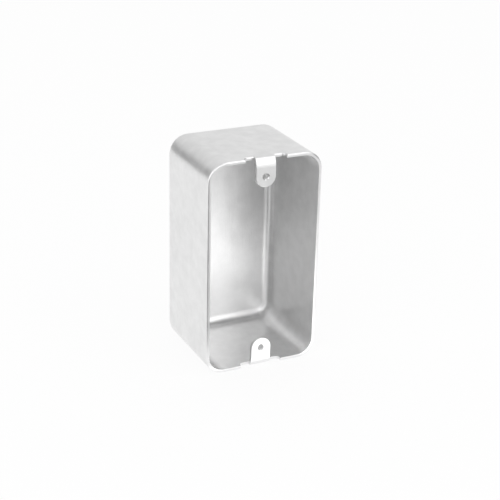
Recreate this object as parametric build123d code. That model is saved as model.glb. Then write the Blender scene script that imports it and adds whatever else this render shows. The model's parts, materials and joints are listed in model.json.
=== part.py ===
from build123d import *
from math import cos, radians, sin
import os

# Blank handy box: one piece of sheet steel drawn into a deep tray with an open front.
# At each end of the mouth an ear is folded inward, with a tapped hole for a device or a cover.
# X runs across the box, Y from the open front to the back, Z up along the box.
# The origin lies under the middle of the lower end wall, on which the box stands.
# All sizes are in millimetres.

# Drawn tray
SHEET = 1.6  # thickness of the steel all over
WIDTH = 55.6  # across the outside of the side walls
DEPTH = 47.6  # from the rim to the outside of the back
CORNER_INSIDE = 7.6  # inside radius of the four corners
BACK_INSIDE = 4.0  # inside radius where the walls run into the back

# Ears
SCREW_SPACING = 83.34  # between the two screw holes, as wiring devices have it
SCREW_INSET = 9.13  # from the outside of an end wall to its screw hole
SCREW_HOLE = 2.8  # bore of the tapped hole, inside its thread
HOLE_CHAMFER = 0.3  # lead-in at the front of the tapped hole
EAR_WIDTH = 9.7  # also the diameter of the ear's round tip
EAR_SETBACK = 0.15  # front of the ear behind the plane of the rim
EAR_EDGE = 0.25  # rounding of the ear's outline at the front
FOLD_INSIDE = 0.3  # inside radius of the fold
FOLD_TURN = 66  # degrees that the fold turns at this radius
BOW_INSIDE = 7.4  # inside radius of the gentle bow in which the fold runs out

# Reliefs trimmed in the rim at both sides of an ear
RELIEF_WIDTH = 5.2  # from the side of the ear outward
RELIEF_BELOW_FOLD = 0.1  # how far the relief goes on past the start of the fold
RELIEF_END = 1.8  # radius at the end away from the ear

# Rounded outer edge that trimming leaves along the rim and the reliefs
TRIMMED_EDGE = 0.8

# Cosine of the turn between two faces, above which one runs smoothly on into the other
SMOOTH = 0.99

# Sizes that follow
HEIGHT = SCREW_SPACING + 2 * SCREW_INSET
FRONT = -DEPTH / 2
FOLD_OUTSIDE = FOLD_INSIDE + SHEET
BOW_OUTSIDE = BOW_INSIDE + SHEET
BOW_TURN = 90 - FOLD_TURN
EAR_FRONT = FRONT + EAR_SETBACK
FOLD_START = EAR_FRONT + BOW_OUTSIDE - (BOW_OUTSIDE - FOLD_OUTSIDE) * sin(radians(FOLD_TURN))
EAR_ROOT = FOLD_START + RELIEF_BELOW_FOLD + TRIMMED_EDGE
RELIEF_DEPTH = FOLD_START - FRONT + RELIEF_BELOW_FOLD

MOUTH = Plane(origin=(0, FRONT, HEIGHT / 2), x_dir=(1, 0, 0), z_dir=(0, 1, 0))
MIDDLE = Plane.XY.offset(HEIGHT / 2)


def drawn_form(inset):
    """The full form of the tray, its walls and back moved inward by the inset."""
    corner = CORNER_INSIDE + SHEET - inset
    outline = RectangleRounded(WIDTH - 2 * inset, HEIGHT - 2 * inset, corner)
    block = extrude(MOUTH * outline, DEPTH - inset)
    back_edges = block.faces().sort_by(Axis.Y)[-1].edges()
    return fillet(back_edges, BACK_INSIDE + SHEET - inset)


def rim_trim():
    """What is trimmed off the rim at both end walls: room for the ear, and the reliefs beside it."""
    reach = EAR_WIDTH / 2 + RELIEF_WIDTH
    opening = Pos(0, FRONT) * Rectangle(2 * reach, 2 * RELIEF_DEPTH)
    opening = fillet(opening.vertices().group_by(Axis.Y)[-1], RELIEF_END)
    return extrude(Pos(0, 0, -SHEET) * opening, HEIGHT + 2 * SHEET)


def outer_skin(solid, start):
    """The faces that run smoothly on from the start face."""
    faces = solid.faces()
    skin = [start]
    for face in skin:
        for other in faces:
            if other in skin:
                continue
            for edge in set(face.edges()) & set(other.edges()):
                point = edge.position_at(0.5)
                if face.normal_at(point).dot(other.normal_at(point)) > SMOOTH:
                    skin.append(other)
                    break
    return skin


def trimmed_edges(solid, start):
    """The outline along which the outer skin was trimmed; a round hole is not part of it."""
    uses = {}
    for face in outer_skin(solid, start):
        for edge in face.edges():
            uses[edge] = uses.get(edge, 0) + 1
    return ShapeList(edge for edge, count in uses.items() if count == 1 and not edge.is_closed)


def drawn_tray():
    """The tray with its rim trimmed and the outer edge of the rim rounded."""
    tray = drawn_form(0) - drawn_form(SHEET) - rim_trim()
    back = tray.faces().sort_by(Axis.Y)[-1]
    return fillet(trimmed_edges(tray, back), TRIMMED_EDGE)


def ear_strip():
    """The sheet of the upper ear: out of the end wall, through the fold and its bow, down to the screw."""
    ear_back = EAR_FRONT + SHEET
    screw_z = HEIGHT - SCREW_INSET
    fold = (FOLD_START, HEIGHT - FOLD_OUTSIDE)
    to_bow = BOW_OUTSIDE - FOLD_OUTSIDE
    bow = (fold[0] + to_bow * sin(radians(FOLD_TURN)), fold[1] - to_bow * cos(radians(FOLD_TURN)))
    lines = [
        Line((EAR_ROOT, HEIGHT), (FOLD_START, HEIGHT)),
        CenterArc(fold, FOLD_OUTSIDE, 90, FOLD_TURN),
        CenterArc(bow, BOW_OUTSIDE, 90 + FOLD_TURN, BOW_TURN),
        Line((EAR_FRONT, bow[1]), (EAR_FRONT, screw_z)),
        Line((EAR_FRONT, screw_z), (ear_back, screw_z)),
        Line((ear_back, screw_z), (ear_back, bow[1])),
        CenterArc(bow, BOW_INSIDE, 90 + FOLD_TURN, BOW_TURN),
        CenterArc(fold, FOLD_INSIDE, 90, FOLD_TURN),
        Line((FOLD_START, HEIGHT - SHEET), (EAR_ROOT, HEIGHT - SHEET)),
        Line((EAR_ROOT, HEIGHT - SHEET), (EAR_ROOT, HEIGHT)),
    ]
    return extrude(Plane.YZ * make_face(lines), EAR_WIDTH / 2, both=True)


def upper_ear():
    """The sheet folded inward through a right angle, ending half-round about the tapped hole."""
    at_screw = Plane(origin=(0, EAR_FRONT, HEIGHT - SCREW_INSET), x_dir=(1, 0, 0), z_dir=(0, 1, 0))
    radius = EAR_WIDTH / 2
    half_round = Circle(radius) & Pos(0, radius / 2) * Rectangle(EAR_WIDTH, radius)
    tip = extrude(at_screw * half_round, SHEET)
    hole = extrude(at_screw * Circle(SCREW_HOLE / 2), SHEET)
    ear = ear_strip() + tip - hole
    front = ear.faces().sort_by(Axis.Y)[0]
    root_last = trimmed_edges(ear, front).sort_by(Axis.Y)
    ear = fillet(root_last[:-1], EAR_EDGE)
    hole_edge = ear.edges().filter_by(lambda edge: edge.is_closed).sort_by(Axis.Y)[0]
    return chamfer(hole_edge, HOLE_CHAMFER)


ear = upper_ear()
box = drawn_tray() + ear + mirror(ear, about=MIDDLE)
box.label = "box_body"

os.makedirs("parts", exist_ok=True)
export_step(box, "parts/box_body.step")
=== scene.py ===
import json
import math

import bmesh
import bpy
from mathutils import Matrix, Vector

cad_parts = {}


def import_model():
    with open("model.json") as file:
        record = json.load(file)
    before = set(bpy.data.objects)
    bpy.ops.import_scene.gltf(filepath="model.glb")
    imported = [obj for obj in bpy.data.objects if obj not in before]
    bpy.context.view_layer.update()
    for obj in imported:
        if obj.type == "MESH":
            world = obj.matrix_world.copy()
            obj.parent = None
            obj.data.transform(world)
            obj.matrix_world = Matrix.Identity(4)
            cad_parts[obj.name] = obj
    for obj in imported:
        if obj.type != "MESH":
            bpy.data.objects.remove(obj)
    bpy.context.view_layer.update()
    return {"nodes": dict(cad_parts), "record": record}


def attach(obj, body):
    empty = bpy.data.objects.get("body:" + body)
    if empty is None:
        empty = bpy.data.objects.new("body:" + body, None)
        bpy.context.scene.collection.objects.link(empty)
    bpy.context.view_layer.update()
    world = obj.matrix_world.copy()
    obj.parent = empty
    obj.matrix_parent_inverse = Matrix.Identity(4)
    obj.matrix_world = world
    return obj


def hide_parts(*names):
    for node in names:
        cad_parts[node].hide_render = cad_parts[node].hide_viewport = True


# A blank handy box of satin zinc-coated sheet steel, standing on its lower end wall.
# Metres and degrees; X runs across the box, Y from the open front to the back, Z up along the box.

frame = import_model()
scene = bpy.context.scene
scene.view_settings.view_transform = "Standard"

BODY = frame["nodes"]["box_body"]
MOUNTS = {mount["name"]: mount for mount in frame["record"]["mounts"]}

# Camera at the viewing angle of the photograph; lens and sensor in millimetres
CAMERA_TARGET = Vector((0.0034, -0.0026, 0.0490))
CAMERA_DISTANCE = 0.6057
CAMERA_AZIMUTH = -26.20
CAMERA_ELEVATION = 22.98
CAMERA_ROLL = 1.436
CAMERA_LENS = 94.174
CAMERA_SENSOR = 36.0


def direction(azimuth, elevation):
    """Unit vector from the box, with azimuth 0 at the front and 90 at the right."""
    turn = math.radians(azimuth)
    rise = math.radians(elevation)
    level = math.cos(rise)
    return Vector((math.sin(turn) * level, -math.cos(turn) * level, math.sin(rise)))


def add(name, data):
    """A new object of the scene."""
    item = bpy.data.objects.new(name, data)
    scene.collection.objects.link(item)
    return item


def mesh_from(name, build):
    """A mesh that a function fills in bmesh."""
    form = bmesh.new()
    build(form)
    bmesh.ops.recalc_face_normals(form, faces=form.faces)
    data = bpy.data.meshes.new(name)
    form.to_mesh(data)
    form.free()
    return data


def node(tree, kind, inputs, **settings):
    """A shader node with its settings, and its inputs linked to sockets or set to values."""
    made = tree.nodes.new("ShaderNode" + kind)
    for name, value in settings.items():
        setattr(made, name, value)
    for name, value in inputs.items():
        if isinstance(value, bpy.types.NodeSocket):
            tree.links.new(value, made.inputs[name])
        else:
            made.inputs[name].default_value = value
    return made


def empty_material(name):
    """A material without nodes, and its node tree."""
    mat = bpy.data.materials.new(name)
    mat.use_nodes = True
    mat.node_tree.nodes.clear()
    return mat, mat.node_tree


# Threads: the tapped holes in the ears, for No. 6-32 screws

SCREWS = MOUNTS["device_screw_holes"]
SCREW_MIDDLE = Vector(SCREWS["pos_m"])
SCREW_SPACING = SCREWS["dims"]["spacing_y_mm"] / 1000
BORE_RADIUS = SCREWS["dims"]["hole_r_mm"] / 1000
EAR_THICKNESS = 0.0016
THREAD_RADIUS = 0.00175
THREAD_PITCH = 0.0254 / 32
THREAD_ANGLE = 60
THREAD_FLAT = THREAD_PITCH / 8  # width of the flat at the thread's root
THREAD_STEPS = 32  # sections in one turn
CUTTER_FOOT = THREAD_PITCH / 4  # how far the cutter starts inside the bore
CUTTER_RUNOUT = 2 * THREAD_PITCH  # how far the cutter passes each face of the ear
SAME_PLACE = 1e-7  # vertices nearer than this are one


def thread_cutter(centre):
    """The helical ridge that a tap cuts, along Y and longer than the ear is thick."""
    inner = BORE_RADIUS - CUTTER_FOOT
    crest = THREAD_FLAT / 2
    root = crest + (THREAD_RADIUS - inner) * math.tan(math.radians(THREAD_ANGLE) / 2)
    section = ((inner, -root), (THREAD_RADIUS, -crest), (THREAD_RADIUS, crest), (inner, root))
    length = EAR_THICKNESS + 2 * CUTTER_RUNOUT
    count = round(length / THREAD_PITCH * THREAD_STEPS)

    def build(form):
        rings = []
        for step in range(count + 1):
            angle = 2 * math.pi * step / THREAD_STEPS
            along = length * (step / count - 0.5)
            ring = []
            for radius, side in section:
                place = Vector((radius * math.cos(angle), along + side, radius * math.sin(angle)))
                ring.append(form.verts.new(centre + place))
            rings.append(ring)
        for one, two in zip(rings, rings[1:]):
            for k in range(len(section)):
                form.faces.new((one[k - 1], one[k], two[k], two[k - 1]))
        form.faces.new(rings[0])
        form.faces.new(rings[-1])

    return add("thread_cutter", mesh_from("thread_cutter", build))


def place_key(vertex):
    """A vertex's place in whole steps of the distance within which vertices are one."""
    return tuple(round(value / SAME_PLACE) for value in vertex.co)


def carry_normals(source, target):
    """Gives target the smooth normals of source, where both have a corner at the same place."""
    known = {}
    for face in source.polygons:
        for corner in face.loop_indices:
            key = place_key(source.vertices[source.loops[corner].vertex_index])
            known.setdefault(key, []).append((face.normal, source.corner_normals[corner].vector))
    normals = []
    for face in target.polygons:
        face.use_smooth = True
        for corner in face.loop_indices:
            key = place_key(target.vertices[target.loops[corner].vertex_index])
            pairs = known.get(key, [(face.normal, face.normal)])
            normals.append(max(pairs, key=lambda pair: pair[0].dot(face.normal))[1].copy())
    target.normals_split_custom_set(normals)


def threaded_box():
    """The body's own mesh, closed, with the thread cut into both screw holes."""
    def build(form):
        form.from_mesh(BODY.data)
        bmesh.ops.remove_doubles(form, verts=form.verts, dist=SAME_PLACE)

    item = add("steel_box", mesh_from("steel_box", build))
    cutters = []
    for side in (-1, 1):
        centre = SCREW_MIDDLE + Vector((0, EAR_THICKNESS / 2, side * SCREW_SPACING / 2))
        cutters.append(thread_cutter(centre))
        cut = item.modifiers.new("thread", "BOOLEAN")
        cut.operation = "DIFFERENCE"
        cut.solver = "EXACT"
        cut.object = cutters[-1]
    graph = bpy.context.evaluated_depsgraph_get()
    finished = bpy.data.meshes.new_from_object(item.evaluated_get(graph), depsgraph=graph)
    item.modifiers.clear()
    item.data = finished
    for cutter in cutters:
        bpy.data.objects.remove(cutter)
    carry_normals(BODY.data, finished)
    finished.materials.clear()
    return item


# Steel: each kind of unevenness with its period, its octaves and its height or its range of values

CLOUDS = 0.005
CLOUD_DETAIL = 3.0
WAVES = 0.011
WAVE_DETAIL = 1.0
WAVE_HEIGHT = 80e-6
MARK_WIDTH = 0.0006
MARK_LENGTH = 0.012
MARK_DETAIL = 2.0
MARK_HEIGHT = 9e-6
MARK_ROUGHNESS = (-0.02, 0.03)
GRAIN = 0.0012
GRAIN_DETAIL = 2.0
GRAIN_HEIGHT = 12e-6
WALL_SHADE = (0.765, 0.845)
WALL_ROUGHNESS = (0.33, 0.39)
# The back's lighter shade is partly painted light: it brightens the faces square to Y, the back wall
# most of all, beside a real finish difference.
BACK_SHADE_WITH_PAINTED_LIGHT = (0.85, 0.90)
BACK_ROUGHNESS = (0.30, 0.34)
NOISE_RANGE = (0.3, 0.7)  # where most values of a noise lie
FACING_RANGE = (0.5, 0.8)  # part of a normal along an axis, from beside the axis to square to it


def map_range(tree, value, before, after):
    """A value moved from one range to another, and kept within it."""
    limits = {"From Min": before[0], "From Max": before[1], "To Min": after[0], "To Max": after[1]}
    return node(tree, "MapRange", {"Value": value, **limits}).outputs[0]


def noise(tree, place, period, detail):
    """Soft noise with features about a period apart along each axis."""
    scale = [1 / length for length in period]
    scaled = node(tree, "VectorMath", {0: place, 1: scale}, operation="MULTIPLY").outputs[0]
    made = node(tree, "TexNoise", {"Vector": scaled, "Scale": 1.0, "Detail": detail})
    return made.outputs[0]


def spread(tree, value, low, high):
    """Noise drawn out from its usual range to a range of values."""
    return map_range(tree, value, NOISE_RANGE, (low, high))


def blend(tree, share, first, second):
    """The first value where the share is 0, and the second where it is 1."""
    return node(tree, "Mix", {0: share, 2: first, 3: second}).outputs[0]


def total(tree, *values):
    """The sum of values."""
    result = values[0]
    for value in values[1:]:
        result = node(tree, "Math", {0: result, 1: value}, operation="ADD").outputs[0]
    return result


def steep(tree, part):
    """How far a surface faces along an axis: 0 on one beside it, 1 on one square to it."""
    size = node(tree, "Math", {0: part}, operation="ABSOLUTE").outputs[0]
    return map_range(tree, size, FACING_RANGE, (0, 1))


def zinc_steel():
    """Satin zinc coat with clouds, a grain and fine marks; the drawn walls are rougher than the back,
    and the back's lighter shade is partly a real finish and partly painted light.
    """
    mat, tree = empty_material("zinc_steel")
    place = node(tree, "TexCoord", {}).outputs["Object"]
    normal = node(tree, "NewGeometry", {}).outputs["Normal"]
    facing = node(tree, "SeparateXYZ", {0: normal}).outputs
    on_side = steep(tree, facing["X"])
    on_back = steep(tree, facing["Y"])

    clouds = noise(tree, place, [CLOUDS] * 3, CLOUD_DETAIL)
    waves = noise(tree, place, [WAVES] * 3, WAVE_DETAIL)
    grain = noise(tree, place, [GRAIN] * 3, GRAIN_DETAIL)
    marks_x = noise(tree, place, [MARK_WIDTH, MARK_LENGTH, MARK_LENGTH], MARK_DETAIL)
    marks_y = noise(tree, place, [MARK_LENGTH, MARK_WIDTH, MARK_LENGTH], MARK_DETAIL)
    marks = blend(tree, on_side, marks_x, marks_y)

    # Faces square to Y get the lighter back shade, which is partly painted light on the back wall.
    wall_shade = spread(tree, clouds, *WALL_SHADE)
    back_shade_with_painted_light = spread(tree, clouds, *BACK_SHADE_WITH_PAINTED_LIGHT)
    shade = blend(tree, on_back, wall_shade, back_shade_with_painted_light)

    wall_rough = spread(tree, clouds, *WALL_ROUGHNESS)
    back_rough = spread(tree, clouds, *BACK_ROUGHNESS)
    coat_rough = blend(tree, on_back, wall_rough, back_rough)
    rough = total(tree, coat_rough, spread(tree, marks, *MARK_ROUGHNESS))

    wave_height = spread(tree, waves, 0, WAVE_HEIGHT)
    mark_height = spread(tree, marks, 0, MARK_HEIGHT)
    grain_height = spread(tree, grain, 0, GRAIN_HEIGHT)
    height = total(tree, wave_height, mark_height, grain_height)
    bump = node(tree, "Bump", {"Strength": 1.0, "Distance": 1.0, "Height": height})

    metal = node(tree, "BsdfPrincipled", {
        "Base Color": shade,
        "Metallic": 1.0,
        "Roughness": rough,
        "Normal": bump.outputs[0],
    })
    node(tree, "OutputMaterial", {"Surface": metal.outputs[0]})
    return mat


# Studio: a white table under a soft room, four softboxes, and cards that only reflections see

FLOOR_RADIUS = 12.0
FLOOR_SIDES = 64
FLOOR_COLOUR = 0.95
FLOOR_GLOW = 0.9
WORLD_LEVEL = 0.79
WORLD_SWING = 0.17
WORLD_BRIGHT = Vector((0.94, 0.0, 0.34))  # toward the brighter side of the room
LAMP_DISTANCE = 1.2
CARD_DISTANCE = 2.2
CARD_LIFT = 0.0005  # height of one layer of cards on the table

# Corners on the table of the cards that the back and the left rim reflect
FRONT_CARD = ((-0.030, -0.0245), (0.05, -0.0245), (0.115, -0.115), (0.034, -0.15), (-0.016, -0.032))
RIM_CARD = ((-0.018, -0.058), (0.003, -0.058), (0.072, -0.205), (0.046, -0.205))


def floor():
    """A wide white table; most of its white is its own, so that the shadow stays faint."""
    def build(form):
        bmesh.ops.create_circle(form, cap_ends=True, radius=FLOOR_RADIUS, segments=FLOOR_SIDES)

    item = add("floor", mesh_from("floor", build))
    mat, tree = empty_material("floor")
    path = node(tree, "LightPath", {}).outputs
    seen = node(tree, "Math", {0: path["Is Camera Ray"], 1: path["Is Glossy Ray"]}, operation="MAXIMUM")
    seen = node(tree, "Math", {0: seen.outputs[0], 1: path["Is Transmission Ray"]}, operation="MAXIMUM")
    share = node(tree, "Math", {0: seen.outputs[0], 1: FLOOR_GLOW}, operation="MULTIPLY")
    white = node(tree, "BsdfDiffuse", {"Color": (FLOOR_COLOUR, FLOOR_COLOUR, FLOOR_COLOUR, 1)})
    glow = node(tree, "Emission", {"Strength": 1.0})
    mix = node(tree, "MixShader", {0: share.outputs[0], 1: white.outputs[0], 2: glow.outputs[0]})
    node(tree, "OutputMaterial", {"Surface": mix.outputs[0]})
    item.data.materials.append(mat)


def world():
    """A soft room that is a little brighter on one side."""
    made = bpy.data.worlds.new("studio")
    made.use_nodes = True
    tree = made.node_tree
    place = node(tree, "TexCoord", {}).outputs["Generated"]
    along = node(tree, "VectorMath", {0: place, 1: WORLD_BRIGHT}, operation="DOT_PRODUCT")
    levels = (WORLD_LEVEL - WORLD_SWING, WORLD_LEVEL + WORLD_SWING)
    level = map_range(tree, along.outputs["Value"], (-1, 1), levels)
    sky = tree.nodes["Background"]
    sky.inputs["Color"].default_value = (1, 1, 1, 1)
    tree.links.new(level, sky.inputs["Strength"])
    scene.world = made


def softbox(name, azimuth, elevation, wide, high, level):
    """An area lamp of even brightness that faces the middle of the box; all its sizes are angles."""
    lamp = bpy.data.lights.new(name, "AREA")
    lamp.shape = "RECTANGLE"
    lamp.size = 2 * LAMP_DISTANCE * math.tan(math.radians(wide / 2))
    lamp.size_y = 2 * LAMP_DISTANCE * math.tan(math.radians(high / 2))
    lamp.energy = level * math.pi * lamp.size * lamp.size_y
    item = add(name, lamp)
    out = direction(azimuth, elevation)
    item.location = CAMERA_TARGET + out * LAMP_DISTANCE
    item.rotation_euler = (-out).to_track_quat("-Z", "Y").to_euler()
    item.visible_camera = False


def card(name, corners, level):
    """A flat card of even brightness that only reflections see."""
    def build(form):
        form.faces.new([form.verts.new(corner) for corner in corners])

    item = add(name, mesh_from(name, build))
    mat, tree = empty_material(name)
    glow = node(tree, "Emission", {"Strength": level})
    node(tree, "OutputMaterial", {"Surface": glow.outputs[0]})
    item.data.materials.append(mat)
    item.visible_camera = False
    item.visible_diffuse = False
    item.visible_shadow = False
    item.visible_transmission = False


def on_table(places, layer):
    """Corners of a card that lies on the table, above the cards of the layers before it."""
    return [Vector((x, y, layer * CARD_LIFT)) for x, y in places]


def ends(one, two):
    """The four pairs of the ends of two ranges, in order round a rectangle."""
    return ((one[0], two[0]), (one[1], two[0]), (one[1], two[1]), (one[0], two[1]))


def floor_card(name, azimuths, radii, level):
    """A card in the first layer on the table, between two azimuths and two distances."""
    lift = Vector((0, 0, CARD_LIFT))
    corners = [direction(azimuth, 0) * radius + lift for azimuth, radius in ends(azimuths, radii)]
    card(name, corners, level)


def sky_card(name, azimuths, elevations, level):
    """A card that stands round the table, between two azimuths and two elevations."""
    corners = [direction(*angles) * CARD_DISTANCE for angles in ends(azimuths, elevations)]
    card(name, corners, level)


def camera():
    """The camera at the viewing angle of the photograph."""
    data = bpy.data.cameras.new("camera")
    data.lens = CAMERA_LENS
    data.sensor_width = CAMERA_SENSOR
    item = add("camera", data)
    back = direction(CAMERA_AZIMUTH, CAMERA_ELEVATION)
    roll = Matrix.Rotation(math.radians(CAMERA_ROLL), 3, "Z")
    turn = (-back).to_track_quat("-Z", "Y").to_matrix() @ roll
    item.matrix_world = Matrix.Translation(CAMERA_TARGET + back * CAMERA_DISTANCE) @ turn.to_4x4()
    scene.camera = item


camera()
world()
floor()
softbox("softbox_front", azimuth=14, elevation=15, wide=34, high=36, level=0.80)
softbox("softbox_high", azimuth=38, elevation=47, wide=26, high=22, level=0.95)
softbox("softbox_camera", azimuth=-15, elevation=29, wide=20, high=16, level=0.90)
softbox("softbox_left", azimuth=-64, elevation=20, wide=48, high=46, level=1.05)
card("card_front", on_table(FRONT_CARD, layer=2), level=1.53)
card("card_left_rim", on_table(RIM_CARD, layer=3), level=0.30)
floor_card("card_front_far", azimuths=(6, 42), radii=(0.17, 0.5), level=0.66)
floor_card("card_front_left", azimuths=(-20, 5), radii=(0.05, 0.20), level=0.56)
floor_card("card_front_left_far", azimuths=(-20, 5), radii=(0.20, 0.80), level=0.33)
floor_card("card_camera", azimuths=(-41, -21), radii=(0.065, 0.80), level=0.04)
floor_card("card_left", azimuths=(-64, -41), radii=(0.09, 0.80), level=0.45)
floor_card("card_camera_far", azimuths=(-64, -8), radii=(0.82, 5.0), level=0.34)
sky_card("card_above_camera", azimuths=(-40, 17), elevations=(31, 56), level=0.46)
sky_card("card_beside_camera", azimuths=(-41, -27), elevations=(0, 13), level=0.19)
sky_card("card_back", azimuths=(-170, -130), elevations=(0, 18), level=0.31)
sky_card("card_right", azimuths=(40, 110), elevations=(0, 22), level=0.10)

steel = threaded_box()
steel.data.materials.append(zinc_steel())
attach(steel, "root")
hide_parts("box_body")
